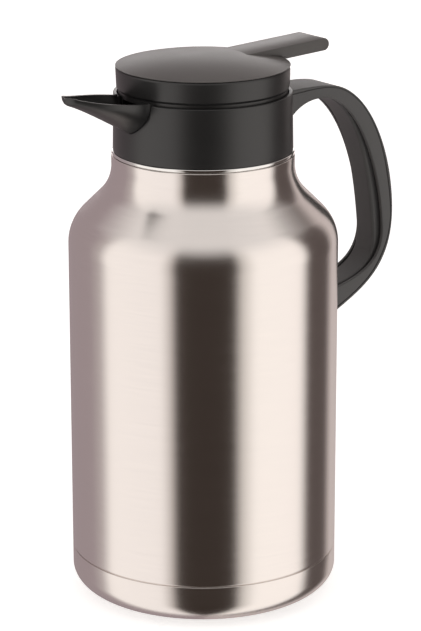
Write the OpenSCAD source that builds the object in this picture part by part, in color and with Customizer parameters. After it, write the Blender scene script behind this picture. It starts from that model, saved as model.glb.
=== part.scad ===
// Thermal carafe: a double-walled steel vessel with a plastic head, a pouring spout,
// a C-shaped handle, a screwed stopper and a rocking lid that lifts the pouring valve.
// Origin: centre of the underside. +Z up, handle towards +X, spout towards -X.

/* [Vessel] */
// Outer diameter of the steel body
body_d = 132; // [128:1:136]
// Height of the base cup, up to the seam groove
base_h = 22; // [20:1:25]
// Height of the steel shell, up to the polished ring
shell_h = 222; // [218:0.1:228]
// Radius of the convex bend where the shoulder leaves the body
shoulder_bend = 22; // [20:1:24]
// Radius of the hollow bend where the shoulder meets the neck
neck_bend = 20.5; // [19:0.5:22]
// Sheet thickness of the steel walls
wall = 0.8; // [0.6:0.1:1]
// Clear vacuum space between the two walls
vacuum_gap = 4; // [3:0.5:4.5]

/* [Head] */
// Outer diameter of the plastic collar at its lower edge
collar_d = 87.6; // [86.8:0.2:88.6]
// Height of the collar
collar_h = 28.7; // [28:0.1:30]
// Height of the stopper ring that shows above the collar
skirt_show = 12.2; // [11.6:0.2:13.4]
// Height of the domed lid from its lower edge to its top
dome_h = 5.4; // [5:0.2:6]

/* [Lever] */
// Width of the thumb lever
lever_w = 20.8; // [16:0.1:22]
// Thickness of the thumb lever
lever_t = 6.2; // [5.4:0.1:6.6]
// Reach of the lever from the vessel's axis
lever_reach = 70; // [66:0.5:73]

/* [Spout] */
// Reach of the spout's tip from the vessel's axis
spout_reach = 80.6; // [78:0.1:84]
// Half width of the spout where it leaves the collar
spout_half_w = 14.2; // [13:0.1:16]
// Rise of the spout's tip above the collar's rim
spout_rise = 7.6; // [6:0.1:9]

/* [Handle] */
// Width of the handle
handle_w = 20.8; // [18:0.1:22]
// Reach of the handle's outer face from the vessel's axis
handle_reach = 113; // [111:0.5:116]

/* [Hidden] */
$fn = 96;

steel = "#b8aaa4";
polished = "#e8e4e0";
black_plastic = "#3c3c3e";
dome_plastic = "#5b5755";
rubber = "#2a2a2c";
clear_silicone = "#c9c9c4";
foam = "#e6dfc8";

// Vessel: radii and heights of the two walls
body_r = body_d / 2;
collar_r = collar_d / 2;
neck_r = collar_r + 0.8;
neck_straight = 5.2;
slope_share = sqrt(2) - 1;
shoulder_z = shell_h - neck_straight - (body_r - neck_r) - slope_share * (shoulder_bend + neck_bend);
throat_tube_r = neck_r - 5;
mouth_z = shell_h + 7;
liner_r = body_r - wall - vacuum_gap;
liner_bend = shoulder_bend - wall - vacuum_gap;
liner_neck_r = throat_tube_r - 4.6;
liner_neck_bend = 18;
liner_bottom_z = 10;
corner_across = 13.8;
corner_up = 10.8;
pad_r = 50;
pad_t = 2.4;
pad_proud = 0.8;
seam_gap = 0.5;
evacuation_r = 2;

// Head: the collar's heights and bores
ring_h = 1.9;
collar_z = shell_h + ring_h;
rim_z = collar_z + collar_h;
rim_r = collar_r - 0.5;
gasket_t = 2;
throat_z0 = mouth_z + gasket_t + 0.2;
throat_z1 = rim_z - 11.6;
throat_r = 36;
chamber_r = rim_r - 1.9;
gap = 0.1;

// Stopper: threads, plug and ring
thread_lead = 18;
thread_starts = 3;
lug_h = 2.4;
lug_deg = 12;
lug_z = throat_z1 - 1.6;
ridge_h = 2;
ridge_deg = 150;
plug_r = throat_r - 1.7;
plug_low_r = liner_neck_r - wall - 0.9;
plug_z0 = mouth_z - 24;
plug_z1 = throat_z1 + 1.6;
passage_r = 18;
seat_r = 9.5;
seat_z = plug_z0 + 5;
deck_t = 2.5;
deck_z0 = plug_z1 + gap;
deck_z1 = deck_z0 + deck_t;
skirt_r = chamber_r - 0.4;
skirt_t = 2.2;
skirt_flare = 1.2;
skirt_z1 = rim_z + skirt_show;
deck_r = skirt_r - skirt_t - 0.1;

// Lid: hinge, rocker and dome
hinge_x = 33.4;
hinge_z = skirt_z1 - 5.2;
pin_r = 1.5;
pin_half = 16;
running_gap = 0.06;
dome_r = skirt_r + skirt_flare;
dome_z0 = skirt_z1 + 0.4;
dome_z1 = dome_z0 + dome_h;
dome_t = 2.2;
liner_plate_r = 36.5;
liner_plate_z = dome_z0 - 1.9;
lever_slope = 2.8;

// Valve: stem, plate and spring
stem_r = 2.5;
disc_r = 13;
disc_z0 = seat_z + 2;
disc_t = 3;
head_r = 6;
head_z = hinge_z - 6;
guide_z0 = mouth_z + 7;
guide_t = 3.4;
spring_r = 5.6;
spring_wire = 1.2;
spring_turns = 5;

// Spout: the root is a straight prism through the collar wall
spout_root_x = 39.8;
spout_keel_z = rim_z - 15.2;
spout_lip = 1.2;
spout_curl = 0.29;
spout_bow = 1.45;
spout_tip_half = 3.8;
spout_swell = 4.8;
spout_tip_depth = 4;

// Handle: outer and inner curves as chained cubic curves in the (x, z) plane
handle_out = handle_reach - 113;
belly_z = 177;
outer_knots = [
    [[42, rim_z - 4.6], [70, rim_z - 4.2], [77.4, rim_z - 3.8], [88.4, rim_z - 12.9]],
    [[88.4, rim_z - 12.9], [101.6 + handle_out, rim_z - 23.8], [handle_reach, belly_z + 27],
     [handle_reach, belly_z]],
    [[handle_reach, belly_z], [handle_reach, belly_z - 38], [82.5, 136.3], [62, 121.6]]];
inner_knots = [
    [[42, rim_z - 26.6], [45, rim_z - 14.6], [55, rim_z - 10.6], [64.5, rim_z - 10.6]],
    [[64.5, rim_z - 10.6], [88, rim_z - 10.6], [104.5 + handle_out, belly_z + 27], [106.4 + handle_out, belly_z - 8]],
    [[106.4 + handle_out, belly_z - 8], [107 + handle_out, belly_z - 29], [89, 144.5], [62, 139.5]]];
curve_steps = 14;
shell_skin = 2.2;
hollow_from = 13;
hollow_to = 33;
cover_from = 11;
cover_to = 39;
cover_w = 14;
cover_proud = 3.7;
cover_depth = 2;
plate_t = 1.6;
cover_play = 0.2;
side_skin = 1.8;
tongue_z = rim_z - 8.6;
tongue_end_x = 56.8;
foot_z = 135.2;
foot_end_x = 79.5;
screw_r = 2;
screw_head_r = 3.6;
screw_top_x = 51;
screw_top_z = rim_z - 10.8;
screw_foot_x = 72;
screw_foot_z = foot_z - 3.8;

// Points of a circular arc
function arc(cx, cz, r, a0, a1, n = 10) =
    [for (i = [0:n]) let (a = a0 + (a1 - a0) * i / n) [cx + r * cos(a), cz + r * sin(a)]];

// Points of one cubic curve, the last one left off so that curves chain
function cubic(k, n) =
    [for (i = [0:n - 1]) let (t = i / n, s = 1 - t)
        s * s * s * k[0] + 3 * s * s * t * k[1] + 3 * s * t * t * k[2] + t * t * t * k[3]];

function chain(knots, n) =
    concat([for (k = knots) each cubic(k, n)], [knots[len(knots) - 1][3]]);

// A polyline moved sideways by d, to the right of its direction
function beside(p, d) =
    [for (i = [0:len(p) - 1])
        let (a = p[max(i - 1, 0)], b = p[min(i + 1, len(p) - 1)], v = (b - a) / norm(b - a))
        p[i] + d * [v[1], -v[0]]];

function backwards(p) = [for (i = [len(p) - 1:-1:0]) p[i]];

function part_of(p, i0, i1) = [for (i = [i0:i1]) p[i]];

// Shoulder of a wall: a convex bend, a 45 degree slope and a hollow bend
function shoulder(r_body, r_neck, bend, hollow) =
    concat(arc(r_body - bend, shoulder_z, bend, 0, 45),
           arc(r_neck + hollow, shoulder_z + (r_body - r_neck) + slope_share * (bend + hollow),
               hollow, 225, 180));

// Height of the spring wire's centre at the share t of its length, with tight flat end turns
function coil_z(t, z0, z1) =
    let (lead_in = 0.75 / spring_turns)
    t < lead_in ? z0 + spring_wire * 0.7 * t / lead_in
    : t > 1 - lead_in ? z1 - spring_wire * 0.7 * (1 - t) / lead_in
    : z0 + spring_wire * 0.7
      + (z1 - z0 - spring_wire * 1.4) * (t - lead_in) / (1 - 2 * lead_in);

module ring(r_out, r_in, z0, z1) {
    rotate_extrude()
        translate([r_in, z0])
            square([r_out - r_in, z1 - z0]);
}

module outer_shell() {
    outside = concat([[body_r, base_h]], shoulder(body_r, neck_r, shoulder_bend, neck_bend),
                     [[neck_r, shell_h], [throat_tube_r, shell_h], [throat_tube_r, mouth_z]]);
    inside = concat([[body_r - wall, base_h]],
                    shoulder(body_r - wall, neck_r - wall, shoulder_bend - wall, neck_bend + wall),
                    [[neck_r - wall, shell_h - wall], [throat_tube_r - wall, shell_h - wall],
                     [throat_tube_r - wall, mouth_z]]);
    color(steel)
        rotate_extrude()
            polygon(concat(outside, backwards(inside)));
}

// Corner of the base cup as a quarter ellipse, smaller by d for its inner face
function base_corner(d) =
    [for (i = [0:10]) let (a = -90 + 9 * i)
        [body_r - corner_across + (corner_across - d) * cos(a),
         pad_proud + corner_up + (corner_up - d) * sin(a)]];

module base_cup() {
    t = 1;
    lip_h = 7;
    recess_z = pad_t + 0.1;
    outside = concat([[pad_r + 0.3, pad_proud]], base_corner(0), [[body_r, base_h - seam_gap]]);
    inside = concat([[pad_r + 0.3 + t, pad_proud + t]], base_corner(t),
                    [[body_r - wall - gap - t, base_h + lip_h]]);
    color(steel)
        difference() {
            rotate_extrude()
                polygon(concat([[0, recess_z], [pad_r + 0.3, recess_z]], outside,
                               [[body_r - wall - gap, base_h - seam_gap],
                                [body_r - wall - gap, base_h + lip_h]],
                               backwards(inside),
                               [[pad_r + 0.3 + t, recess_z + t], [0, recess_z + t]]));
            translate([0, 0, recess_z - 1])
                cylinder(r = evacuation_r, h = t + 2);
        }
}

module base_pad() {
    color(rubber)
        cylinder(r = pad_r, h = pad_t);
}

module vacuum_plug() {
    color(polished)
        union() {
            translate([0, 0, pad_t + 0.2])
                cylinder(r = evacuation_r - 0.05, h = 1.6);
            translate([0, 0, pad_t + 1.2])
                cylinder(r = 5, h = 1.4);
        }
}

module getter_cup() {
    color(polished)
        translate([24, 0, liner_bottom_z - 4])
            cylinder(r = 8, h = 3.9);
}

module inner_flask() {
    bottom_bend = 14;
    outside = concat([[0, liner_bottom_z]],
                     arc(liner_r - bottom_bend, liner_bottom_z + bottom_bend, bottom_bend, -90, 0),
                     shoulder(liner_r, liner_neck_r, liner_bend, liner_neck_bend),
                     [[liner_neck_r, mouth_z - wall], [throat_tube_r - wall - 0.05, mouth_z - wall]]);
    inside = concat([[0, liner_bottom_z + wall]],
                    arc(liner_r - bottom_bend, liner_bottom_z + bottom_bend, bottom_bend - wall, -90, 0),
                    shoulder(liner_r - wall, liner_neck_r - wall, liner_bend - wall, liner_neck_bend + wall),
                    [[liner_neck_r - wall, mouth_z], [throat_tube_r - wall - 0.05, mouth_z]]);
    color(polished)
        rotate_extrude()
            polygon(concat(outside, backwards(inside)));
}

module neck_ring() {
    color(polished)
        ring(collar_r + 0.5, throat_tube_r + gap, shell_h + 0.05, collar_z - 0.05);
}

module mouth_gasket() {
    color(clear_silicone)
        ring(throat_tube_r - 0.2, throat_r - 0.6, mouth_z + gap, mouth_z + gap + gasket_t);
}

module neck_clamp() {
    color(black_plastic)
        difference() {
            ring(throat_tube_r + 1.7, throat_tube_r + gap, collar_z + 0.4, mouth_z - 0.4);
            translate([0, -1.5, collar_z])
                cube([throat_tube_r + 4, 3, 8]);
        }
}

// One side of the spout's outline on the collar: a U with slightly drawn-in sides
function u_side(half, depth, n = 12) =
    [for (i = [0:n]) let (a = 90 * i / n) [half * pow(cos(a), spout_bow), -depth * sin(a)]];

module collar_lug() {
    rotate([0, 0, -lug_deg / 2])
        rotate_extrude(angle = lug_deg)
            translate([plug_r + 0.3, lug_z - lug_h / 2])
                square([throat_r - plug_r + 0.3, lug_h]);
}

module collar() {
    play = 0.15;
    top = rim_z + spout_lip;
    side = concat([[spout_half_w + play, 3]], u_side(spout_half_w + play, top - spout_keel_z + play));
    color(black_plastic)
        difference() {
            union() {
                rotate_extrude()
                    polygon([[collar_r, collar_z], [rim_r, rim_z - 0.6], [rim_r - 0.6, rim_z],
                             [chamber_r, rim_z], [chamber_r, throat_z1], [throat_r, throat_z1],
                             [throat_r, throat_z0], [throat_tube_r + gap, throat_z0],
                             [throat_tube_r + gap, mouth_z - 0.2],
                             [throat_tube_r + 1.8, mouth_z - 0.2],
                             [throat_tube_r + 1.8, collar_z]]);
                for (i = [0:thread_starts - 1])
                    rotate([0, 0, 360 * i / thread_starts + 60])
                        collar_lug();
                translate([collar_r - 1.5, -5, tongue_z])
                    cube([tongue_end_x - collar_r + 1.5, 10, 3]);
            }
            translate([play - spout_root_x, 0, top])
                rotate([90, 0, -90])
                    linear_extrude(12)
                        polygon(concat(side, [for (p = backwards(side)) [-p[0], p[1]]]));
            translate([screw_top_x, 0, tongue_z - 1])
                cylinder(r = screw_r + 0.05, h = 5);
        }
}

// Spout: distance from the axis, heights of the top edge and the keel, and half width,
// at a share s of the way from the collar (0) to the tip (1)
function spout_x(s) = collar_r + (spout_reach - collar_r) * s;
function spout_nose(s) = s > 0.93 ? sqrt(max(0.04, 1 - pow((s - 0.93) / 0.07, 2))) : 1;
function spout_top(s) =
    rim_z + spout_lip + (spout_rise - spout_lip) * ((1 - spout_curl) * s + spout_curl * pow(s, 5));
function spout_low(s) =
    spout_keel_z + (rim_z + spout_rise - spout_tip_depth - spout_keel_z) * (s + 0.3 * s * s * (1 - s));
function spout_half(s) =
    spout_half_w * (1 - s) + spout_tip_half * s + 4 * spout_swell * s * (1 - s);

// One cross-section of the spout's wall at the distance x: down its outside, up its inside
function spout_section(s, x, n = 8) =
    let (w = spout_half(s) * spout_nose(s), top = spout_top(s), low = spout_low(s),
         mid = (top + low) / 2, t = min(1.6, w * 0.6),
         floor_z = low + (top - low) * (0.12 + 0.8 * pow(s, 6)),
         bow = spout_bow - 0.45 * s, squeeze = s > 0.93 ? 0.35 + 0.65 * spout_nose(s) : 1)
    concat(
        [for (i = [-n:n]) let (a = 90 - 90 * abs(i) / n)
            [-x, sign(i) * w * pow(cos(a), bow), mid + (top - (top - low) * sin(a) - mid) * squeeze]],
        [for (i = [n:-1:-n]) let (a = 90 - 90 * abs(i) / n)
            [-x, sign(i) * (w - t) * pow(cos(a), bow),
             mid + (top - (top - floor_z) * sin(a) - mid) * squeeze]]);

module spout() {
    stations = [0, 0.12, 0.26, 0.4, 0.54, 0.68, 0.8, 0.88, 0.93, 0.955, 0.975, 0.99, 1];
    sections = concat([spout_section(0, spout_root_x)], [for (s = stations) spout_section(s, spout_x(s))]);
    k = len(sections[0]);
    m = len(sections);
    half = k / 2;
    color(black_plastic)
        difference() {
            polyhedron(
                points = [for (s = sections) each s],
                faces = concat(
                    [for (i = [0:m - 2], j = [0:k - 1])
                        [i * k + j, (i + 1) * k + j, (i + 1) * k + (j + 1) % k, i * k + (j + 1) % k]],
                    [for (j = [0:half - 2]) [j, j + 1, k - 2 - j, k - 1 - j]],
                    [for (j = [0:half - 2])
                        [(m - 1) * k + k - 1 - j, (m - 1) * k + k - 2 - j, (m - 1) * k + j + 1, (m - 1) * k + j]]),
                convexity = 4);
            cylinder(r = chamber_r + 0.1, h = 400);
        }
}

handle_outer = chain(outer_knots, curve_steps);
handle_inner = chain(inner_knots, curve_steps);

module handle_slice(outline, width) {
    translate([0, width / 2, 0])
        rotate([90, 0, 0])
            linear_extrude(width)
                polygon(outline);
}

// A band along the finger side of the handle between two depths
function finger_band(run, depth0, depth1) =
    concat(beside(run, -depth0), backwards(beside(run, -depth1)));

// The handle's inner curve where the grip panel swells out of it towards the fingers
function swollen(run) =
    let (m = len(run) - 1, out = beside(run, 1))
    [for (i = [0:m])
        run[i] + cover_proud * pow(sin(180 * pow(i / m, 1.2)), 4) * (out[i] - run[i])];

// A run of points with its first and last point pulled in by d
function shortened(p, d) =
    let (m = len(p) - 1, a = (p[1] - p[0]) / norm(p[1] - p[0]), b = (p[m - 1] - p[m]) / norm(p[m - 1] - p[m]))
    concat([p[0] + d * a], part_of(p, 1, m - 1), [p[m] + d * b]);

module handle_shell() {
    run = part_of(handle_inner, cover_from, cover_to);
    hollow = concat(beside(part_of(handle_inner, hollow_from, hollow_to), 1),
                    backwards(beside(part_of(handle_outer, hollow_from, hollow_to), shell_skin)));
    play = 0.2;
    color(black_plastic)
        difference() {
            handle_slice(concat(handle_outer, backwards(handle_inner)), handle_w);
            handle_slice(hollow, handle_w - 2 * side_skin);
            handle_slice(finger_band(run, -1, cover_depth + plate_t + cover_play), handle_w - 2 * side_skin);
            cylinder(r = collar_r + 0.1, h = 300);
            cylinder(r = body_r + 0.1, h = 200);
            translate([30, -5 - play, tongue_z - play])
                cube([tongue_end_x + play - 30, 10 + 2 * play, 3 + 2 * play]);
            translate([30, -7.4, foot_z - 7.4])
                cube([body_r + 1.9 - 30, 14.8, 11.6]);
            translate([30, -5 - play, foot_z - play])
                cube([foot_end_x + play - 30, 10 + 2 * play, 3 + 2 * play]);
            translate([screw_top_x, 0, screw_top_z - 1])
                cylinder(r = screw_r + play, h = 4);
            translate([screw_top_x, 0, screw_top_z - 10])
                cylinder(r = screw_head_r + play, h = 10.1);
            translate([screw_foot_x, 0, screw_foot_z - 1])
                cylinder(r = screw_r + play, h = 6);
            translate([screw_foot_x, 0, screw_foot_z - 10])
                cylinder(r = screw_head_r + play, h = 10.1);
        }
}

module handle_cover() {
    run = shortened(part_of(handle_inner, cover_from, cover_to), cover_play);
    color(black_plastic)
        union() {
            handle_slice(concat(swollen(run), backwards(beside(run, -cover_depth - 0.1))), cover_w);
            handle_slice(finger_band(run, cover_depth, cover_depth + plate_t),
                         handle_w - 2 * side_skin - 2 * cover_play);
        }
}

module handle_bracket() {
    plate_deg = 10;
    color(polished)
        difference() {
            union() {
                rotate([0, 0, -plate_deg / 2])
                    rotate_extrude(angle = plate_deg)
                        translate([body_r + 0.05, foot_z - 7.2])
                            square([1.6, 11.2]);
                translate([body_r + 0.6, -5, foot_z])
                    cube([foot_end_x - body_r - 0.6, 10, 3]);
            }
            translate([screw_foot_x, 0, foot_z - 1])
                cylinder(r = screw_r + 0.05, h = 5);
        }
}

// A screw pointing up, with the underside of its head at z
module screw(x, z, length) {
    translate([x, 0, z])
        cylinder(r = screw_r, h = length);
    translate([x, 0, z - 2.4])
        difference() {
            cylinder(r = screw_head_r, h = 2.5);
            translate([0, 0, -1])
                cylinder(r = 1.6, h = 2.6, $fn = 6);
        }
}

module handle_screws() {
    color(polished) {
        screw(screw_top_x, screw_top_z, 4.9);
        screw(screw_foot_x, screw_foot_z, 6.7);
    }
}

// One ridge of the stopper's thread, centred on the angle where the lug stands above it
module thread_ridge() {
    steps = 14;
    root_r = plug_r - 0.4;
    tip_r = throat_r - 0.4;
    middle_z = lug_z - thread_lead / thread_starts / 2;
    section = [[root_r, -ridge_h / 2], [tip_r, -ridge_h / 2 + 0.3], [tip_r, ridge_h / 2 - 0.3],
               [root_r, ridge_h / 2]];
    polyhedron(
        points = [for (i = [0:steps]) let (a = ridge_deg * (i / steps - 0.5))
            each [for (p = section)
                [p[0] * cos(a), p[0] * sin(a), middle_z + thread_lead * a / 360 + p[1]]]],
        faces = concat(
            [for (i = [0:steps - 1], j = [0:3])
                [i * 4 + j, i * 4 + (j + 1) % 4, i * 4 + 4 + (j + 1) % 4, i * 4 + 4 + j]],
            [[3, 2, 1, 0]],
            [[steps * 4, steps * 4 + 1, steps * 4 + 2, steps * 4 + 3]]));
}

module stopper_plug() {
    skin = 2;
    pocket_in = passage_r + skin;
    pocket_out = plug_low_r - skin;
    color(black_plastic)
        union() {
            rotate_extrude()
                polygon([[seat_r, plug_z0], [plug_low_r - 3, plug_z0], [plug_low_r, plug_z0 + 3],
                         [plug_low_r, throat_z0 + 0.2], [plug_r, throat_z0 + 1.4], [plug_r, plug_z1],
                         [pocket_out, plug_z1], [pocket_out, seat_z + skin], [pocket_in, seat_z + skin],
                         [pocket_in, plug_z1], [passage_r, plug_z1], [passage_r, seat_z],
                         [seat_r, seat_z]]);
            for (i = [0:thread_starts - 1])
                rotate([0, 0, 360 * i / thread_starts + 60])
                    thread_ridge();
        }
}

module plug_insulation() {
    color(foam)
        ring(plug_low_r - 2.2, passage_r + 2.2, seat_z + 2.2, plug_z1 - 0.5);
}

module stopper_deck() {
    color(black_plastic)
        ring(deck_r, passage_r, deck_z0, deck_z1);
}

module stopper_skirt() {
    window_half = 11;
    relief_x = 31;
    ear_x = [hinge_x - 3.6, hinge_x + 3];
    ear_y = 13.6;
    ear_top = 2.8;
    flare_r = skirt_r + skirt_flare;
    flare_z = rim_z + spout_lip + 0.3;
    color(black_plastic)
        difference() {
            union() {
                rotate_extrude()
                    polygon([[skirt_r - skirt_t, deck_z0], [skirt_r, deck_z0], [skirt_r, flare_z],
                             [flare_r - 0.4, flare_z + 1.2], [flare_r, skirt_z1 - 0.7],
                             [flare_r - 0.4, skirt_z1], [skirt_r - skirt_t, skirt_z1]]);
                ring(skirt_r - skirt_t + 0.2, deck_r - 2, deck_z1 + gap, deck_z1 + 2);
                for (side = [-1, 1])
                    translate([ear_x[0], side * ear_y - 1.6, deck_z1 + 1])
                        cube([ear_x[1] - ear_x[0], 3.2, hinge_z + ear_top - deck_z1 - 1]);
            }
            translate([relief_x, -40, hinge_z + 1.4])
                difference() {
                    cube([20, 80, 10]);
                    translate([-1, 23, -1])
                        cube([ear_x[1] - relief_x + 1, 34, ear_top - 0.4]);
                }
            translate([-skirt_r - 2, -window_half, deck_z1 + 2.1])
                cube([8, 2 * window_half, rim_z - deck_z1 - 3]);
            translate([hinge_x, pin_half + 0.2, hinge_z])
                rotate([90, 0, 0])
                    cylinder(r = pin_r + 0.02, h = 2 * pin_half + 0.4);
        }
}

module stopper_gasket() {
    color(clear_silicone)
        ring(38.4, plug_r + 1.2, throat_z1 + 0.05, plug_z1 + 0.05);
}

module stem_guide() {
    arm_w = 3;
    color(black_plastic)
        difference() {
            union() {
                ring(passage_r - 0.1, passage_r - 2.2, guide_z0, guide_z0 + guide_t);
                translate([0, 0, guide_z0])
                    cylinder(r = 5.4, h = guide_t);
                for (i = [0:2])
                    rotate([0, 0, 120 * i])
                        translate([3, -arm_w / 2, guide_z0])
                            cube([passage_r - 4.2, arm_w, guide_t]);
            }
            translate([0, 0, guide_z0 - 1])
                cylinder(r = stem_r + running_gap, h = guide_t + 2);
        }
}

module hinge_pin() {
    color(polished)
        translate([hinge_x, pin_half, hinge_z])
            rotate([90, 0, 0])
                cylinder(r = pin_r, h = 2 * pin_half);
}

// The dome's cap as a shallow spherical shell with a small rounded edge
function cap(r, z_edge, rise, n = 16) =
    let (ball = (r * r + rise * rise) / (2 * rise), top = asin(r / ball))
    [for (i = [0:n]) let (a = top * (1 - i / n)) [ball * sin(a), z_edge + rise - ball * (1 - cos(a))]];

module lid_dome() {
    edge = 0.2;
    top_x0 = 17;
    top_z0 = dome_z1 - 1.4;
    end_r = lever_t / 2;
    rise = tan(lever_slope);
    end_x = lever_reach - end_r;
    end_z = top_z0 + rise * (end_x - top_x0) - end_r;
    root = [dome_r + 1.4, dome_z0 - 0.9];
    color(dome_plastic)
        union() {
            rotate_extrude()
                polygon(concat([[dome_r - dome_t, dome_z0], [dome_r - 0.1, dome_z0], [dome_r, dome_z0 + 0.1]],
                               cap(dome_r, dome_z0 + edge, dome_h - edge),
                               backwards(cap(dome_r - dome_t, dome_z0, dome_h - dome_t))));
            handle_slice(concat([[top_x0, top_z0]],
                                arc(end_x, end_z, end_r, 90, -90, 10),
                                [root, [dome_r - 0.3, dome_z0 + 0.2], [dome_r - 1.6, dome_z0 + 0.2],
                                 [top_x0, dome_z1 - 3]]), lever_w);
        }
}

module lid_liner() {
    lug_r = 3.2;
    lug_y = 10;
    bar_r = 1.4;
    color(black_plastic)
        difference() {
            union() {
                translate([0, 0, liner_plate_z])
                    cylinder(r = liner_plate_r, h = 1.6);
                for (side = [-1, 1]) {
                    translate([hinge_x, side * lug_y + 1.6, hinge_z])
                        rotate([90, 0, 0])
                            cylinder(r = lug_r, h = 3.2);
                    translate([hinge_x - lug_r, side * lug_y - 1.6, hinge_z])
                        cube([1.5 * lug_r, 3.2, liner_plate_z - hinge_z + 0.5]);
                    translate([-2, side * 8.2 - 1.2, head_z - 2.8])
                        cube([4, 2.4, liner_plate_z - head_z + 3]);
                    translate([0, side * 6 + 2.6, head_z - 0.15 - bar_r])
                        rotate([90, 0, 0])
                            cylinder(r = bar_r, h = 5.2);
                }
            }
            translate([hinge_x, 20, hinge_z])
                rotate([90, 0, 0])
                    cylinder(r = pin_r + running_gap, h = 40);
        }
}

module valve_stem() {
    color(polished)
        translate([0, 0, disc_z0 - 1])
            cylinder(r = stem_r, h = head_z + 2.5 - disc_z0 + 1);
}

module valve_disc() {
    color(black_plastic)
        difference() {
            union() {
                translate([0, 0, disc_z0])
                    cylinder(r = disc_r, h = disc_t);
                translate([0, 0, disc_z0])
                    cylinder(r = 4.2, h = disc_t + 4);
                translate([0, 0, seat_z - 3])
                    cylinder(r = 7.5, h = disc_z0 - seat_z + 3.5);
            }
            translate([0, 0, disc_z0 - 1])
                cylinder(r = stem_r, h = 20);
        }
}

module valve_seal() {
    color(clear_silicone)
        ring(disc_r - 0.4, 7.6, seat_z + 0.05, disc_z0 - 0.05);
}

module stem_head() {
    color(polished)
        difference() {
            translate([0, 0, head_z])
                cylinder(r = head_r, h = 4);
            translate([0, 0, head_z - 1])
                cylinder(r = stem_r, h = 3.5);
        }
}

module valve_spring() {
    turns = spring_turns;
    steps = turns * 8;
    z0 = disc_z0 + disc_t + spring_wire / 2 + 0.05;
    z1 = guide_z0 - spring_wire / 2 - 0.05;
    r_wire = spring_wire / 2;
    centres = [for (i = [0:steps])
        let (t = i / steps, a = 360 * turns * t)
        [spring_r * cos(a), spring_r * sin(a), coil_z(t, z0, z1)]];
    rings = [for (i = [0:steps])
        let (a = 360 * turns * i / steps, out = [cos(a), sin(a), 0], c = centres[i])
        [for (j = [0:5]) c + r_wire * (cos(60 * j) * out + sin(60 * j) * [0, 0, 1])]];
    // Least distance between wire surfaces, one or more turns apart
    least_gap = min([for (i = [0:steps - 8], k = [i + 7:min(i + 9, steps)])
        norm(centres[k] - centres[i]) - spring_wire]);
    echo(least_gap_between_curls = least_gap);
    color(polished)
        polyhedron(
            points = [for (r = rings) each r],
            faces = concat(
                [for (i = [0:steps - 1], j = [0:5], half = [0:1])
                    half == 0 ? [i * 6 + j, i * 6 + 6 + j, i * 6 + (j + 1) % 6]
                              : [i * 6 + (j + 1) % 6, i * 6 + 6 + j, i * 6 + 6 + (j + 1) % 6]],
                [for (j = [1:4]) [0, j, j + 1]],
                [for (j = [1:4]) [steps * 6, steps * 6 + j + 1, steps * 6 + j]]));
}

outer_shell();
base_cup();
base_pad();
vacuum_plug();
getter_cup();
inner_flask();
neck_ring();
mouth_gasket();
neck_clamp();
collar();
spout();
handle_shell();
handle_cover();
handle_bracket();
handle_screws();
stopper_plug();
plug_insulation();
stopper_deck();
stopper_skirt();
stopper_gasket();
stem_guide();
hinge_pin();
lid_dome();
lid_liner();
valve_stem();
valve_disc();
valve_seal();
stem_head();
valve_spring();
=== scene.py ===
import math

import bmesh
import bpy
from mathutils import Matrix, Vector


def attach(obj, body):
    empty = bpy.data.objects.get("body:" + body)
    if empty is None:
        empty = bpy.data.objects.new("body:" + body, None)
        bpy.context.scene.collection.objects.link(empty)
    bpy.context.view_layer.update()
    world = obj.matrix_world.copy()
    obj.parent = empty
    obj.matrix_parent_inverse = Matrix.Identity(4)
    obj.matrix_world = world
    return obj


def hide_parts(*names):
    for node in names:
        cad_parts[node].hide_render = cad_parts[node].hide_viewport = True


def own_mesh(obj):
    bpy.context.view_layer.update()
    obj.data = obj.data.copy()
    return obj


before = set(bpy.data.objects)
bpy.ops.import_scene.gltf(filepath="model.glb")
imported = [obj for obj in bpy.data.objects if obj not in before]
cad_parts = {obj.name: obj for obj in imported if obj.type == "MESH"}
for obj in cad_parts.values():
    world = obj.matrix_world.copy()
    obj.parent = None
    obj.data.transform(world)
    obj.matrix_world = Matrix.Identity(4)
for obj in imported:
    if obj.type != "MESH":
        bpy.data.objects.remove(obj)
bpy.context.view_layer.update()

MM = 0.001
# Facets in a full turn round the vertical axis
ROUND = 224

# Sizes repeated from the CAD source, in millimetres
# Flask and base
BODY_R = 66
BASE_H = 22
SEAM_GAP = 0.5
SHELL_H = 222
SHOULDER_Z = 177.8
SHOULDER_BEND = 22
NECK_BEND = 20.5
NECK_R = 44.6
THROAT_TUBE_R = 39.6
MOUTH_Z = 229
WALL = 0.8
CORNER_ACROSS = 13.8
CORNER_UP = 10.8
PAD_R = 50
PAD_T = 2.4
PAD_PROUD = 0.8
# Collar
COLLAR_R = 43.8
COLLAR_Z = 223.9
RIM_R = 43.3
RIM_Z = 252.6
CHAMBER_R = 41.4
THROAT_R = 36
THROAT_Z0 = 231.2
THROAT_Z1 = 241
# Lid and lever
DOME_R = 42.2
DOME_Z0 = 265.2
DOME_Z1 = 270.6
DOME_T = 2.2
LEVER_W = 20.8
LEVER_T = 6.2
LEVER_REACH = 70
LEVER_SLOPE = math.radians(2.8)
# Spout
SPOUT_REACH = 80.6
SPOUT_HALF_W = 14.2
SPOUT_RISE = 7.6
SPOUT_KEEL_Z = 237.4
SPOUT_LIP = 1.2
SPOUT_CURL = 0.29
SPOUT_ROOT_X = 39.8
SPOUT_BOW = 1.45
SPOUT_TIP_HALF = 3.8
SPOUT_SWELL = 4.8
SPOUT_TIP_DEPTH = 4
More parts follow.
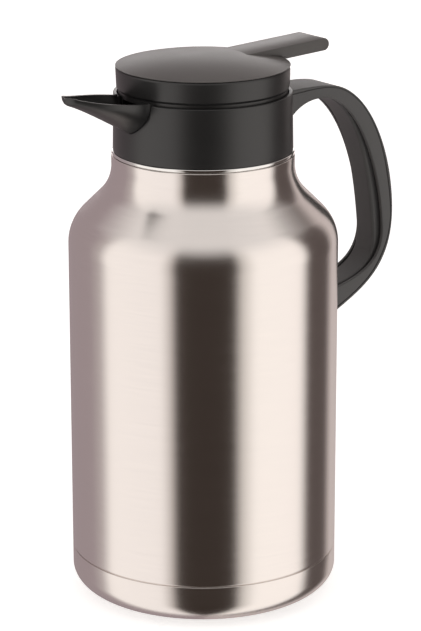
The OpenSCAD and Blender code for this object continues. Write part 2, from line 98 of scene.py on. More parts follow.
# Handle, with the control points (x, z) of its outer and finger side
HANDLE_W = 20.8
SIDE_SKIN = 1.8
CURVE_STEPS = 14
COVER_FROM = 11
COVER_TO = 39
COVER_W = 14
COVER_PROUD = 3.7
COVER_DEPTH = 2
PLATE_T = 1.6
COVER_PLAY = 0.2
OUTER_KNOTS = [
    [(42, 248), (70, 248.4), (77.4, 248.8), (88.4, 239.7)],
    [(88.4, 239.7), (101.6, 228.8), (113, 204), (113, 177)],
    [(113, 177), (113, 139), (82.5, 136.3), (62, 121.6)],
]
INNER_KNOTS = [
    [(42, 226), (45, 238), (55, 242), (64.5, 242)],
    [(64.5, 242), (88, 242), (104.5, 204), (106.4, 169)],
    [(106.4, 169), (107, 148), (89, 144.5), (62, 139.5)],
]


# Outline helpers

def arc(cx, cz, r, a0, a1, n):
    """Points on a circle from the angle a0 to a1 in degrees, in n steps."""
    return [(cx + r * math.cos(math.radians(a0 + (a1 - a0) * i / n)),
             cz + r * math.sin(math.radians(a0 + (a1 - a0) * i / n))) for i in range(n + 1)]


def straight(p, q, n):
    """Points from p towards q, the last one left off."""
    return [(p[0] + (q[0] - p[0]) * i / n, p[1] + (q[1] - p[1]) * i / n) for i in range(n)]


def cubic(knots, n):
    """Points on the Bezier curve of four control points, the last one left off."""
    out = []
    for i in range(n):
        t = i / n
        s = 1 - t
        weights = (s ** 3, 3 * s * s * t, 3 * s * t * t, t ** 3)
        out.append(tuple(sum(w * p[axis] for w, p in zip(weights, knots)) for axis in (0, 1)))
    return out


def chain(curves, n):
    """Points on Bezier curves that follow each other, with the end point."""
    return [p for knots in curves for p in cubic(knots, n)] + [curves[-1][3]]


def rounded(points, radii, n=5, closed=True):
    """A polygon with its corners rounded by the given radii."""
    out = []
    count = len(points)
    for i, (p, r) in enumerate(zip(points, radii)):
        if r <= 0 or (not closed and i in (0, count - 1)):
            out.append(tuple(p))
            continue
        p = Vector(p)
        a = Vector(points[i - 1]) - p
        b = Vector(points[(i + 1) % count]) - p
        a_len, b_len = a.length, b.length
        a.normalize()
        b.normalize()
        half = a.angle(b) / 2
        cut = min(r / math.tan(half), a_len * 0.49, b_len * 0.49)
        r = cut * math.tan(half)
        centre = p + (a + b).normalized() * (r / math.sin(half))
        start = p + a * cut - centre
        end = p + b * cut - centre
        turn = math.atan2(start.x * end.y - start.y * end.x, start.dot(end))
        for k in range(n + 1):
            t = turn * k / n
            c, s = math.cos(t), math.sin(t)
            out.append((centre.x + start.x * c - start.y * s, centre.y + start.x * s + start.y * c))
    return out


def inset(points, d):
    """A closed outline that runs clockwise, moved inward by d at each point."""
    out = []
    for i, p in enumerate(points):
        before = Vector(points[i - 1])
        after = Vector(points[(i + 1) % len(points)])
        t = (after - before).normalized()
        out.append((p[0] + t.y * d, p[1] - t.x * d))
    return out


def across(origin, direction, ring):
    """Points (p, q) of a ring set across the handle: p along y, q from the origin along the direction."""
    return [(origin[0] + direction.x * q, p, origin[1] + direction.y * q) for p, q in ring]


# Mesh helpers

def make(name, verts, faces, sharp=32):
    """A mesh object from points in millimetres, shaded smooth up to the angle sharp."""
    mesh = bpy.data.meshes.new(name)
    mesh.from_pydata([Vector(v) * MM for v in verts], [], faces)
    mesh.validate()
    mesh.update()
    mesh.polygons.foreach_set("use_smooth", [True] * len(mesh.polygons))
    mesh.set_sharp_from_angle(angle=math.radians(sharp))
    obj = bpy.data.objects.new(name, mesh)
    bpy.context.collection.objects.link(obj)
    return obj


def lathe(name, profile, closed=True, seg=ROUND, sharp=32):
    """Points (radius, height) turned round the z axis. A radius of 0 makes a pole."""
    verts, faces, rings = [], [], []
    for r, z in profile:
        if r < 1e-6:
            rings.append([len(verts)] * seg)
            verts.append((0, 0, z))
        else:
            rings.append(list(range(len(verts), len(verts) + seg)))
            for k in range(seg):
                a = 2 * math.pi * k / seg
                verts.append((r * math.cos(a), r * math.sin(a), z))
    count = len(rings)
    for i in range(count if closed else count - 1):
        lo, hi = rings[i], rings[(i + 1) % count]
        if lo[0] == lo[1] and hi[0] == hi[1]:
            continue
        for k in range(seg):
            m = (k + 1) % seg
            quad = [lo[k], lo[m], hi[m], hi[k]]
            faces.append([v for j, v in enumerate(quad) if v != quad[j - 1]])
    return make(name, verts, faces, sharp)


def loft(name, sections, sharp=32):
    """Quads between closed sections of equal length, each a list of points, with both ends capped."""
    k = len(sections[0])
    verts = [p for s in sections for p in s]
    faces = []
    for i in range(len(sections) - 1):
        for j in range(k):
            m = (j + 1) % k
            faces.append([i * k + j, (i + 1) * k + j, (i + 1) * k + m, i * k + m])
    last = (len(sections) - 1) * k
    faces.append(list(range(k)))
    faces.append([last + j for j in range(k - 1, -1, -1)])
    return make(name, verts, faces, sharp)


def outward(obj):
    """Turns the faces of a closed mesh outward."""
    bm = bmesh.new()
    bm.from_mesh(obj.data)
    bmesh.ops.recalc_face_normals(bm, faces=bm.faces)
    bm.to_mesh(obj.data)
    bm.free()
    return obj


def join(a, b):
    """Adds the mesh of b to a and removes b."""
    bm = bmesh.new()
    bm.from_mesh(a.data)
    bm.from_mesh(b.data)
    bm.to_mesh(a.data)
    bm.free()
    bpy.data.objects.remove(b)
    return a


def finish_piece(obj, body, material, node):
    """Gives a piece its material and body, in place of the CAD node."""
    outward(obj)
    obj.data.materials.append(material)
    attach(obj, body)
    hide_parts(node)
    return obj


# Materials

class Graph:
    """Short calls for building a node tree."""

    def __init__(self, tree):
        self.tree = tree

    def add(self, kind, **values):
        """A node with its inputs set or linked, or its own properties set."""
        node = self.tree.nodes.new(kind)
        for key, value in values.items():
            if key in node.inputs:
                self.put(node.inputs[key], value)
            else:
                setattr(node, key, value)
        return node

    def put(self, socket, value):
        if isinstance(value, bpy.types.NodeSocket):
            self.tree.links.new(value, socket)
        else:
            socket.default_value = value

    def math(self, operation, a, b=0.0):
        node = self.add("ShaderNodeMath", operation=operation)
        self.put(node.inputs[0], a)
        self.put(node.inputs[1], b)
        return node.outputs[0]

    def ramp(self, share, stops):
        """Colours or grey values, by place from 0 to 1."""
        node = self.add("ShaderNodeValToRGB")
        self.put(node.inputs[0], share)
        elements = node.color_ramp.elements
        while len(elements) < len(stops):
            elements.new(0.5)
        for element, (place, colour) in zip(elements, stops):
            element.position = place
            element.color = (colour, colour, colour, 1) if isinstance(colour, float) else (*colour, 1)
        return node.outputs[0]

    def span(self, value, start, end):
        """0 up to start, 1 from end on, and an even change between them."""
        node = self.add("ShaderNodeMapRange", clamp=True)
        self.put(node.inputs[0], value)
        self.put(node.inputs[1], start)
        self.put(node.inputs[2], end)
        return node.outputs[0]

    def mix(self, share, a, b):
        """Colour a where share is 0, b where it is 1."""
        node = self.add("ShaderNodeMix", data_type="RGBA")
        self.put(node.inputs[0], share)
        self.put(node.inputs[6], a)
        self.put(node.inputs[7], b)
        return node.outputs[2]

    def vector(self, x, y, z):
        return self.add("ShaderNodeCombineXYZ", X=x, Y=y, Z=z).outputs[0]

    def noise(self, vector, scale, detail=3.0, rough=0.5):
        node = self.add("ShaderNodeTexNoise", Vector=vector, Scale=scale, Detail=detail, Roughness=rough)
        return node.outputs[0]


class Material(Graph):
    """A material with one principled shader."""

    def __init__(self, name):
        self.mat = bpy.data.materials.new(name)
        self.mat.use_nodes = True
        super().__init__(self.mat.node_tree)
        self.bsdf = self.tree.nodes["Principled BSDF"]

    def set(self, name, value):
        self.put(self.bsdf.inputs[name], value)

    def position(self):
        return self.add("ShaderNodeTexCoord").outputs["Object"]

    def bump(self, height, distance, strength=1.0):
        node = self.add("ShaderNodeBump", Height=height, Distance=distance, Strength=strength)
        self.set("Normal", node.outputs[0])

    def cloudy(self, tone, dark, light, smooth, rough):
        """Colour and roughness that vary together with the tone."""
        self.set("Base Color", self.ramp(tone, [(0.3, dark), (0.7, light)]))
        self.set("Roughness", self.ramp(tone, [(0.3, smooth), (0.7, rough)]))


def shade(colour, factor):
    return tuple(min(1.0, c * factor) for c in colour)


def brushed_steel(name, tint, roughness, grain):
    """Steel with fine scratches that run round the vertical axis."""
    m = Material(name)
    x, y, z = m.add("ShaderNodeSeparateXYZ", Vector=m.position()).outputs
    angle = m.math("ARCTAN2", y, x)
    scratch = m.vector(m.math("SINE", angle), m.math("COSINE", angle), m.math("MULTIPLY", z, grain))
    fine = m.noise(scratch, 3.0, 4.0, 0.6)
    streak = m.vector(m.math("MULTIPLY", angle, 0.35), 0.0, m.math("MULTIPLY", z, grain * 0.12))
    coarse = m.noise(streak, 5.0, 3.0, 0.5)
    both = m.math("ADD", m.math("MULTIPLY", fine, 0.65), m.math("MULTIPLY", coarse, 0.35))
    m.cloudy(both, shade(tint, 0.95), shade(tint, 1.03), roughness - 0.04, roughness + 0.04)
    m.set("Metallic", 1.0)
    m.set("Anisotropic", 0.8)
    m.set("Anisotropic Rotation", 0.25)
    m.set("Tangent", m.add("ShaderNodeTangent", direction_type="RADIAL", axis="Z").outputs[0])
    m.bump(fine, 0.00002, 0.5)
    return m.mat


def polished_metal(name, tint, roughness):
    m = Material(name)
    pos = m.position()
    m.cloudy(m.noise(pos, 60.0), shade(tint, 0.93), tint, roughness * 0.8, roughness * 1.3)
    m.set("Metallic", 1.0)
    m.bump(m.noise(pos, 900.0, 2.0), 0.00001, 0.3)
    return m.mat


def moulded(name, colour, roughness, specular=0.5):
    """Moulded plastic with a fine spark-eroded grain and slight cloudy variation."""
    m = Material(name)
    pos = m.position()
    cloud = m.noise(pos, 35.0, 4.0, 0.55)
    speck = m.noise(pos, 2600.0, 2.0, 0.6)
    tone = m.math("ADD", m.math("MULTIPLY", cloud, 0.6), m.math("MULTIPLY", speck, 0.4))
    m.cloudy(tone, shade(colour, 0.88), shade(colour, 1.12), roughness - 0.05, roughness + 0.05)
    m.set("Specular IOR Level", specular)
    m.bump(speck, 0.00003, 0.4)
    return m.mat


def soft_rubber(name, colour, roughness, see_through=0.0):
    m = Material(name)
    pos = m.position()
    m.cloudy(m.noise(pos, 80.0), shade(colour, 0.85), colour, roughness - 0.06, roughness + 0.06)
    m.set("Subsurface Weight", see_through)
    m.set("Subsurface Radius", (0.004, 0.003, 0.003))
    m.bump(m.noise(pos, 1800.0, 2.0), 0.00003, 0.4)
    return m.mat


def cell_foam(name):
    m = Material(name)
    cells = m.add("ShaderNodeTexVoronoi", Vector=m.position(), Scale=420.0).outputs[0]
    m.set("Base Color", m.ramp(cells, [(0.0, (0.62, 0.56, 0.42)), (0.6, (0.83, 0.78, 0.64))]))
    m.set("Roughness", m.ramp(cells, [(0.0, 0.95), (1.0, 0.8)]))
    m.bump(cells, 0.0004, 0.8)
    return m.mat


def pale(name, glow):
    """A matt white that also shines by itself."""
    m = Material(name)
    m.set("Base Color", (0.9, 0.9, 0.9, 1))
    m.set("Roughness", 0.9)
    m.set("Specular IOR Level", 0.0)
    m.set("Emission Color", (1, 1, 1, 1))
    m.set("Emission Strength", glow)
    return m.mat


STEEL = brushed_steel("steel_brushed", (0.88, 0.83, 0.80), 0.22, 2400.0)
LINER_STEEL = brushed_steel("steel_liner", (0.86, 0.84, 0.82), 0.2, 300.0)
POLISHED = polished_metal("steel_polished", (0.93, 0.92, 0.90), 0.08)
BRIGHT = polished_metal("steel_bright", (0.80, 0.79, 0.77), 0.2)
BLACK = moulded("plastic_black", (0.011, 0.011, 0.0112), 0.36, specular=0.75)
GRIP = moulded("plastic_grip", (0.062, 0.061, 0.061), 0.48)
DOME = moulded("plastic_dome", (0.072, 0.067, 0.064), 0.42)
RUBBER = soft_rubber("rubber_pad", (0.03, 0.03, 0.032), 0.7)
SILICONE = soft_rubber("silicone_clear", (0.72, 0.72, 0.68), 0.42, 0.4)
FOAM = cell_foam("foam_insulation")


# Vessel

def shoulder(r_body, r_neck, bend, hollow, n):
    """Outline from the body to the neck: a bend out and a bend in, with a 45 degree slope between."""
    top = SHOULDER_Z + (r_body - r_neck) + (math.sqrt(2) - 1) * (bend + hollow)
    return (arc(r_body - bend, SHOULDER_Z, bend, 0, 45, n)
            + arc(r_neck + hollow, top, hollow, 225, 180, n))


def build_shell():
    edge = 0.45
    tube_r = THROAT_TUBE_R - WALL
    neck_top = SHELL_H - WALL
    outside = arc(BODY_R - edge, BASE_H + edge, edge, -90, 0, 5)
    outside += straight((BODY_R, BASE_H + 1), (BODY_R, SHOULDER_Z), 12)
    outside += shoulder(BODY_R, NECK_R, SHOULDER_BEND, NECK_BEND, 40)
    outside += arc(NECK_R - edge, SHELL_H - edge, edge, 0, 90, 5)
    outside += [(THROAT_TUBE_R, SHELL_H), (THROAT_TUBE_R, MOUTH_Z)]
    inside = [(tube_r, MOUTH_Z), (tube_r, neck_top), (NECK_R - WALL, neck_top)]
    inside += shoulder(BODY_R - WALL, NECK_R - WALL, SHOULDER_BEND - WALL, NECK_BEND + WALL, 12)[::-1]
    inside += [(BODY_R - WALL, BASE_H)]
    obj = lathe("body_shell", outside + inside)
    return finish_piece(obj, "vessel", STEEL, "outer_shell")


def corner(d, n):
    """The base's rounded corner, an ellipse's quarter, moved inward by d."""
    turns = [math.radians(-90 + 90 * i / n) for i in range(n + 1)]
    return [(BODY_R - CORNER_ACROSS + (CORNER_ACROSS - d) * math.cos(a),
             PAD_PROUD + CORNER_UP + (CORNER_UP - d) * math.sin(a)) for a in turns]


def build_base():
    sheet = 1
    recess = PAD_T + 0.1
    pocket_r = PAD_R + 0.3
    top = BASE_H - SEAM_GAP
    edge = 0.35
    hole_r = 2
    sleeve_r = BODY_R - WALL - 0.1
    sleeve_z = BASE_H + 7
    outside = [(hole_r, recess), (PAD_R - 4, recess)]
    pocket = [(PAD_R - 4, recess), (pocket_r, recess), (pocket_r, PAD_PROUD), (PAD_R + 2, PAD_PROUD)]
    outside += rounded(pocket, [0, 0.4, 0.5, 0], 4, closed=False)[1:]
    outside += corner(0, 28)
    outside += arc(BODY_R - edge, top - edge, edge, 0, 90, 4)
    outside += [(sleeve_r, top), (sleeve_r, sleeve_z), (sleeve_r - 1, sleeve_z)]
    inside = corner(sheet, 12)[::-1] + [(pocket_r + sheet, recess + sheet), (hole_r, recess + sheet)]
    obj = lathe("base_cup_spun", outside + inside)
    return finish_piece(obj, "vessel", STEEL, "base_cup")


def build_pad():
    groove = 0.5
    hub_r = 8
    profile = [(0, 0.4), (hub_r, 0.4), (hub_r + 0.6, 0)]
    for r in (30, 42):
        profile += [(r, 0), (r + 0.4, groove), (r + 1.6, groove), (r + 2, 0)]
    rim = [(PAD_R - 5, 0), (PAD_R, 0), (PAD_R, PAD_T), (PAD_R - 5, PAD_T)]
    profile += rounded(rim, [0, 0.6, 0.2, 0], 4, closed=False)
    profile += [(0, PAD_T)]
    obj = lathe("base_pad_ribbed", profile, closed=False)
    return finish_piece(obj, "vessel", RUBBER, "base_pad")


def build_ring():
    z0, z1 = SHELL_H + 0.05, COLLAR_Z - 0.05
    r0, r1 = THROAT_TUBE_R + 0.1, COLLAR_R + 0.5
    face_r = r1 - 1.1
    profile = [(r0, z0), (face_r, z0), (face_r, z0 + 0.15)]
    face = [(face_r, z0 + 0.15), (r1, z0 + 0.3), (r1, z1), (face_r, z1)]
    profile += rounded(face, [0, 0.35, 0.5, 0], 6, closed=False)[1:]
    profile += [(r0, z1)]
    obj = lathe("neck_ring_polished", profile)
    return finish_piece(obj, "vessel", POLISHED, "neck_ring")


# Head

SLOT_HALF = SPOUT_HALF_W + 0.1
SLOT_DEPTH = RIM_Z + SPOUT_LIP - SPOUT_KEEL_Z + 0.1


def collar_r(z):
    """The collar's radius, which shrinks evenly from its foot to its rim."""
    lift = (z - COLLAR_Z) / (RIM_Z - COLLAR_Z)
    return COLLAR_R + (RIM_R - COLLAR_R) * lift


def rim_height(a):
    """Height of the collar's rim at the azimuth a, lower in the slot that takes the spout."""
    y = abs(RIM_R * math.sin(a))
    if math.cos(a) >= 0 or y >= SLOT_HALF:
        return RIM_Z
    turn = math.acos((y / SLOT_HALF) ** (1 / SPOUT_BOW))
    return min(RIM_Z, RIM_Z + SPOUT_LIP - SLOT_DEPTH * math.sin(turn))


def collar_azimuths():
    """Azimuths of the collar's sections, spaced along the slot's edge and evenly elsewhere."""
    steps = 26
    slot = []
    for i in range(steps + 1):
        share = max(0.0, math.cos(math.pi / 2 * i / steps)) ** SPOUT_BOW
        slot.append(math.asin(SLOT_HALF * share / RIM_R))
    near = [math.pi - a for a in slot]
    far = [math.pi + a for a in reversed(slot[:-1])]
    count = ROUND - 12
    slot_end = math.asin(SLOT_HALF / RIM_R)
    span = 2 * math.pi - 2 * slot_end
    plain = [math.pi + slot_end + span * i / count for i in range(1, count)]
    return near + far + plain


def collar_profile(top):
    """Closed outline (radius, height) of the collar where its rim is at the height top."""
    edge = 0.45
    side_z = COLLAR_Z + 0.5
    side_steps = 8
    r_top = collar_r(top)
    floor_z = min(THROAT_Z1, top - 1.2)
    tube_r = THROAT_TUBE_R + 0.1
    foot_r = THROAT_TUBE_R + 1.8
    seat_z = MOUTH_Z - 0.2
    out = [(foot_r, COLLAR_Z), (COLLAR_R - 0.5, COLLAR_Z), (COLLAR_R - 0.12, COLLAR_Z + 0.12),
           (COLLAR_R, side_z)]
    for i in range(1, side_steps + 1):
        out.append((COLLAR_R + (r_top - COLLAR_R) * i / side_steps,
                    side_z + (top - edge - side_z) * i / side_steps))
    out += arc(r_top - edge, top - edge, edge, 30, 90, 2)
    out += arc(CHAMBER_R + edge, top - edge, edge, 90, 180, 3)
    out += [(CHAMBER_R, floor_z), (THROAT_R, floor_z), (THROAT_R, THROAT_Z0), (tube_r, THROAT_Z0),
            (tube_r, seat_z), (foot_r, seat_z)]
    return out


def build_collar():
    sections = []
    for a in collar_azimuths():
        profile = collar_profile(rim_height(a))
        sections.append([(r * math.cos(a), r * math.sin(a), z) for r, z in profile])
    k = len(sections[0])
    m = len(sections)
    verts = [p for s in sections for p in s]
    faces = [[i * k + j, ((i + 1) % m) * k + j, ((i + 1) % m) * k + (j + 1) % k, i * k + (j + 1) % k]
             for i in range(m) for j in range(k)]
    obj = make("collar_moulded", verts, faces)
    return finish_piece(obj, "vessel", BLACK, "collar")


# Share of the spout's length where its nose begins to close, and the rest of it
NOSE_START = 0.93
NOSE_SPAN = 0.07


def spout_section(s, x, n=14):
    """Closed ring round the spout's wall at the share s of its length, x in front of the axis."""
    nose = math.sqrt(max(0.04, 1 - ((s - NOSE_START) / NOSE_SPAN) ** 2)) if s > NOSE_START else 1.0
    w = (SPOUT_HALF_W * (1 - s) + SPOUT_TIP_HALF * s + 4 * SPOUT_SWELL * s * (1 - s)) * nose
    climb = (1 - SPOUT_CURL) * s + SPOUT_CURL * s ** 5
    top = RIM_Z + SPOUT_LIP + (SPOUT_RISE - SPOUT_LIP) * climb
    tip_low = RIM_Z + SPOUT_RISE - SPOUT_TIP_DEPTH
    low = SPOUT_KEEL_Z + (tip_low - SPOUT_KEEL_Z) * (s + 0.3 * s * s * (1 - s))
    mid = (top + low) / 2
    wall = min(1.7, w * 0.6)
    crown = wall * 0.12
    floor_z = low + (top - low) * (0.12 + 0.8 * s ** 6)
    bow = SPOUT_BOW - 0.45 * s
    squeeze = 0.35 + 0.65 * nose

    def trough(width, bottom):
        """Points from one edge down round the bottom to the other edge."""
        turns = [math.pi / 2 * (1 - i / n) for i in range(n + 1)]
        drop = [(width * max(0.0, math.cos(a)) ** bow, top - (top - bottom) * math.sin(a)) for a in turns]
        return drop[:0:-1] + [(-y, z) for y, z in drop]

    def rim(share):
        return w - wall * share, top + crown * math.sin(math.pi * share)

    shares = (0.15, 0.35, 0.6, 0.85)
    rim_far = [rim(share) for share in shares]
    rim_near = [(-y, z) for y, z in reversed(rim_far)]
    ring = trough(w, low)[::-1] + rim_far + trough(w - wall, floor_z) + rim_near
    return [(-x, y, mid + (z - mid) * squeeze) for y, z in ring]


def build_spout():
    stations = [0.0, 0.02] + [0.06 * i for i in range(1, 15)] + [0.88, 0.91, NOSE_START]
    stations += [NOSE_START + NOSE_SPAN * math.sin(math.radians(a)) for a in (15, 30, 43, 55, 66, 76, 84, 90)]
    sections = [spout_section(0, SPOUT_ROOT_X + 1.8)]
    sections += [spout_section(s, COLLAR_R + (SPOUT_REACH - COLLAR_R) * s) for s in stations]
    obj = loft("spout_moulded", sections, sharp=50)
    return finish_piece(obj, "vessel", BLACK, "spout")


# Handle

# Steps on each of the handle's three curves, finer than the source's
HANDLE_STEPS = 28


def handle_stations():
    return chain(OUTER_KNOTS, HANDLE_STEPS), chain(INNER_KNOTS, HANDLE_STEPS)


def cover_share(i):
    """Share of the grip panel's run at the station i of the handle, 0 at the top and 1 at the foot."""
    return (i * CURVE_STEPS / HANDLE_STEPS - COVER_FROM) / (COVER_TO - COVER_FROM)


def swell(u):
    """How far the grip panel stands out towards the fingers."""
    return COVER_PROUD * math.sin(math.pi * u ** 1.2) ** 4


def on_cylinder(p, direction, radius):
    """The point moved along direction in the (x, z) plane until it lies on the cylinder of that radius."""
    x = math.sqrt(max(0.0, radius * radius - p[1] * p[1]))
    t = (x - p[0]) / direction[0]
    return (x, p[1], p[2] + direction[1] * t)


def handle_ring(depth, covered):
    """Section of the handle, from its outer side at 0 to its finger side at depth."""
    half = HANDLE_W / 2
    slot_half = half - SIDE_SKIN
    outer_edge = 1.0
    inner_edge = min(0.7, depth * 0.1)
    slot_edge = 0.3
    sink = COVER_DEPTH + PLATE_T + 0.2 if covered else 0.05
    # Parting groove along each side: its place, width and depth
    line_z, line_w, line_d = 1.5, 0.8, 0.55
    side = [(depth * 0.5, 0), (line_z + line_w, 0), (line_z + line_w * 0.75, line_d),
            (line_z + line_w * 0.25, line_d), (line_z, 0)]
    near = [(-half + inward, q) for q, inward in side]
    far = [(half - inward, q) for q, inward in reversed(side)]
    back = rounded([(-half, line_z), (-half, 0), (half, 0), (half, line_z)],
                   [0, outer_edge, outer_edge, 0], 6, closed=False)
    front = rounded([(half, depth * 0.5), (half, depth), (slot_half, depth), (slot_half, depth - sink),
                     (-slot_half, depth - sink), (-slot_half, depth), (-half, depth), (-half, depth * 0.5)],
                    [0, inner_edge, slot_edge, 0, 0, slot_edge, inner_edge, 0], 4, closed=False)
    return near + back[1:-1] + far + front[1:-1]


def build_handle():
    outer, inner = handle_stations()
    sections = []
    for i, (o, n) in enumerate(zip(outer, inner)):
        d = Vector((n[0] - o[0], n[1] - o[1]))
        depth = d.length
        covered = 0 < cover_share(i) < 1
        sections.append(across(o, d / depth, handle_ring(depth, covered)))
    # The ends are trimmed to the collar and to the vessel's wall
    near_collar, near_wall = 46.5, 70
    start = next(i for i, o in enumerate(outer) if o[0] > near_collar)
    end = max(i for i, o in enumerate(outer) if o[0] > near_wall)
    head = [on_cylinder(p, (-1.0, 0.0), collar_r(p[2]) - 0.3) for p in sections[start]]
    foot = [on_cylinder(q, (q[0] - p[0], q[2] - p[2]), BODY_R + 0.1)
            for p, q in zip(sections[end - 1], sections[end])]
    obj = loft("handle_moulded", [head] + sections[start:end + 1] + [foot], sharp=35)
    return finish_piece(obj, "vessel", GRIP, "handle_shell")


def build_cover():
    inner = handle_stations()[1]
    half = COVER_W / 2
    plate_half = HANDLE_W / 2 - SIDE_SKIN - COVER_PLAY
    overlap = 0.02
    flat = [(-plate_half, -PLATE_T), (plate_half, -PLATE_T), (plate_half, overlap), (-plate_half, overlap)]
    pad, plate = [], []
    for i, n in enumerate(inner):
        u = cover_share(i)
        if not 0 < u < 1:
            continue
        run = Vector(inner[i + 1]) - Vector(inner[i - 1])
        run.normalize()
        out = Vector((run.y, -run.x))
        height = COVER_DEPTH + swell(u)
        soft = min(1.8, height * 0.45)
        block = [(-half, 0), (half, 0), (half, height), (-half, height)]
        ring = rounded(block, [0, 0, soft, soft], 6)
        pad.append(across(n, out, [(p, q - COVER_DEPTH) for p, q in ring]))
        plate.append(across(n, out, [(p, q - COVER_DEPTH) for p, q in flat]))
    obj = outward(loft("handle_cover_moulded", pad, sharp=40))
    join(obj, outward(loft("cover_plate", plate, sharp=40)))
    return finish_piece(obj, "vessel", GRIP, "handle_cover")


# Lid

def dome_outline():
    """Outline (radius, height) of the domed plate: underside, edge and cap."""
    edge = 0.3
    steps = 40
    rise = DOME_Z1 - DOME_Z0 - edge
    ball = (DOME_R ** 2 + rise ** 2) / (2 * rise)
    reach = math.asin((DOME_R - 0.08) / ball)
    turns = [reach * (1 - i / steps) for i in range(steps)]
    cap = [(ball * math.sin(a), DOME_Z1 - ball * (1 - math.cos(a))) for a in turns]
    side = arc(DOME_R - edge, DOME_Z0 + edge, edge, -90, 0, 5)
    under_z = DOME_Z1 - DOME_T
    wall_r = DOME_R - DOME_T
    under = [(0, under_z), (20, under_z - 1.2), (wall_r, DOME_Z0 + 0.4), (wall_r, DOME_Z0)]
    return under + side + cap + [(0, DOME_Z1)]


def lever_outline():
    """Side view (x, z) of the lever: a bar with a rounded end that rises from the dome."""
    x0 = 17
    z0 = DOME_Z1 - 1.4
    end_r = LEVER_T / 2
    end_x = LEVER_REACH - end_r
    climb = math.tan(LEVER_SLOPE) * (end_x - x0)
    end_z = z0 + climb - end_r
    root = (DOME_R + 1.4, DOME_Z0 - 0.9)
    top_line = [(x0 + (end_x - x0) * i / 24, z0 + climb * i / 24) for i in range(25)]
    nose = arc(end_x, end_z, end_r, 90, -90, 14)
    low_line = [(end_x + (root[0] - end_x) * i / 12, end_z - end_r + (root[1] - end_z + end_r) * i / 12)
                for i in range(1, 13)]
    under = [(DOME_R - 0.3, DOME_Z0 + 0.3), (DOME_R - 1.6, DOME_Z0 + 0.4), (x0, DOME_Z1 - 3)]
    return top_line + nose[1:] + low_line + under


def build_dome():
    dome = lathe("lid_dome_moulded", dome_outline(), closed=False, sharp=50)
    outline = lever_outline()
    half = LEVER_W / 2
    soft = 0.55
    steps = [(half, soft), (half - soft * 0.3, soft * 0.3), (half - soft, 0)]
    places = [(-y, d) for y, d in steps] + steps[::-1]
    lever = loft("lever_part", [[(x, y, z) for x, z in inset(outline, d)] for y, d in places], sharp=38)
    join(outward(dome), outward(lever))
    return finish_piece(dome, "lid", DOME, "lid_dome")


build_shell()
build_base()
build_pad()
build_ring()
build_collar()
build_spout()
build_handle()
build_cover()
build_dome()


# CAD nodes that stay get their material
FINISH = {
    "vacuum_plug": BRIGHT, "getter_cup": BRIGHT, "inner_flask": LINER_STEEL, "mouth_gasket": SILICONE,
    "neck_clamp": BLACK, "handle_bracket": BRIGHT, "handle_screws": BRIGHT, "stopper_plug": BLACK,
    "plug_insulation": FOAM, "stopper_deck": BLACK, "stopper_skirt": BLACK, "stopper_gasket": SILICONE,
    "stem_guide": BLACK, "hinge_pin": BRIGHT, "lid_liner": BLACK, "valve_stem": BRIGHT,
    "valve_disc": BLACK, "valve_seal": SILICONE, "stem_head": BRIGHT, "valve_spring": BRIGHT,
}
for node, material in FINISH.items():
    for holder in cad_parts[node].material_slots:
        holder.material = material
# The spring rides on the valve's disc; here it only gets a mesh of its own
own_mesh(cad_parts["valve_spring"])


# Studio: a pale floor, and a backdrop that only the camera sees

STUDIO_R = 6000
FLOOR_Z = -0.05
floor = lathe("floor", [(0, FLOOR_Z), (STUDIO_R, FLOOR_Z)], closed=False, seg=64)
floor.data.materials.append(pale("floor_pale", 0.55))
floor.visible_glossy = False
backdrop = lathe("backdrop", arc(0, 0, STUDIO_R, 0, 90, 30), closed=False, seg=64)
backdrop.data.materials.append(pale("backdrop_pale", 1.0))
for ray in ("visible_glossy", "visible_diffuse", "visible_shadow", "visible_transmission"):
    setattr(backdrop, ray, False)

# The camera: its azimuth in degrees, its place before that turn, and its pitch and roll in radians
CAMERA_TURN = 37.0
CAMERA_PLACE = Vector((3.509, -1316.52, 539.19)) * MM
CAMERA_PITCH = 0.294971
CAMERA_ROLL = 0.0012395
FOCAL_PX = 2787.045
FRAME_H_PX = 631
SENSOR = 36.0

# The room's colour by direction in degrees, 0 towards the camera and negative on the picture's left
ROOM = [
    (-180, (0.34, 0.28, 0.29)), (-112, (0.36, 0.30, 0.31)), (-98, (0.50, 0.45, 0.44)),
    (-88, (1.05, 1.0, 0.96)), (-36, (1.0, 0.95, 0.92)), (-28, (0.62, 0.57, 0.54)),
    (-22, (0.04, 0.03, 0.025)), (26, (0.04, 0.03, 0.025)), (34, (0.70, 0.66, 0.62)),
    (46, (1.1, 1.05, 1.0)), (92, (1.1, 1.04, 1.0)), (102, (0.10, 0.08, 0.075)),
    (130, (0.10, 0.08, 0.075)), (142, (0.62, 0.55, 0.53)), (180, (0.50, 0.43, 0.42)),
]
OVERHEAD = (0.8, 0.77, 0.75, 1)
BACK_LIGHT = (3.4, 3.3, 3.25, 1)


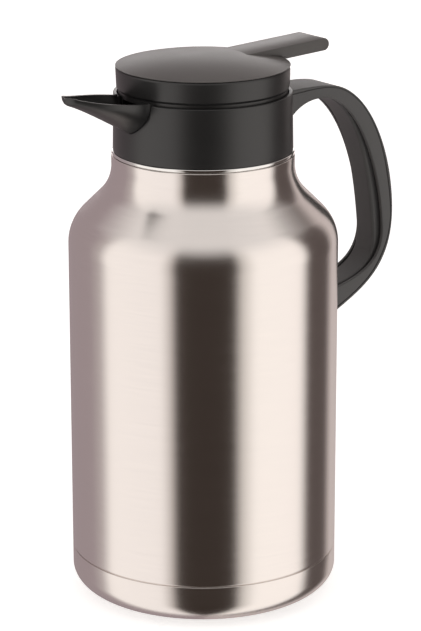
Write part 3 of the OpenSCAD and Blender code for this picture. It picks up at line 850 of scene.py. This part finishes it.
def build_room():
    world = bpy.data.worlds.new("studio")
    bpy.context.scene.world = world
    world.use_nodes = True
    room = Graph(world.node_tree)
    coord = room.add("ShaderNodeTexCoord")
    x, y, z = room.add("ShaderNodeSeparateXYZ", Vector=coord.outputs["Generated"]).outputs
    # The direction is split along the camera's azimuth and square to it
    turn = math.radians(-90 - CAMERA_TURN)
    c, s = math.cos(turn), math.sin(turn)
    along = room.math("ADD", room.math("MULTIPLY", x, c), room.math("MULTIPLY", y, s))
    aside = room.math("SUBTRACT", room.math("MULTIPLY", y, c), room.math("MULTIPLY", x, s))
    angle = room.math("ARCTAN2", aside, along)
    share = room.math("ADD", room.math("DIVIDE", angle, 2 * math.pi), 0.5)
    walls = room.ramp(share, [((deg + 180) / 360, colour) for deg, colour in ROOM])
    # Overhead the room is an even grey-white
    colour = room.mix(room.span(z, 0.45, 0.85), walls, OVERHEAD)
    # A bright soft box behind the object lights the lid and the lever from the back
    glow = room.math("MULTIPLY", room.span(along, -0.93, -0.98), room.span(z, 0.06, 0.16))
    back = room.tree.nodes["Background"]
    room.put(back.inputs["Color"], room.mix(glow, colour, BACK_LIGHT))
    room.put(back.inputs["Strength"], 1.0)


def place_camera():
    data = bpy.data.cameras.new("camera")
    camera = bpy.data.objects.new("camera", data)
    bpy.context.collection.objects.link(camera)
    bpy.context.scene.camera = camera
    data.sensor_width = SENSOR
    data.lens = SENSOR * FOCAL_PX / FRAME_H_PX
    data.clip_end = 30
    forward = Vector((0, math.cos(CAMERA_PITCH), -math.sin(CAMERA_PITCH)))
    right = Vector((1, 0, 0))
    down = forward.cross(right)
    c, s = math.cos(CAMERA_ROLL), math.sin(CAMERA_ROLL)
    right, down = c * right + s * down, c * down - s * right
    basis = Matrix((right, -down, -forward)).transposed()
    turn_back = Matrix.Rotation(math.radians(-CAMERA_TURN), 3, "Z")
    camera.matrix_world = Matrix.Translation(turn_back @ CAMERA_PLACE) @ (turn_back @ basis).to_4x4()


build_room()
place_camera()
bpy.context.scene.view_settings.view_transform = "Standard"
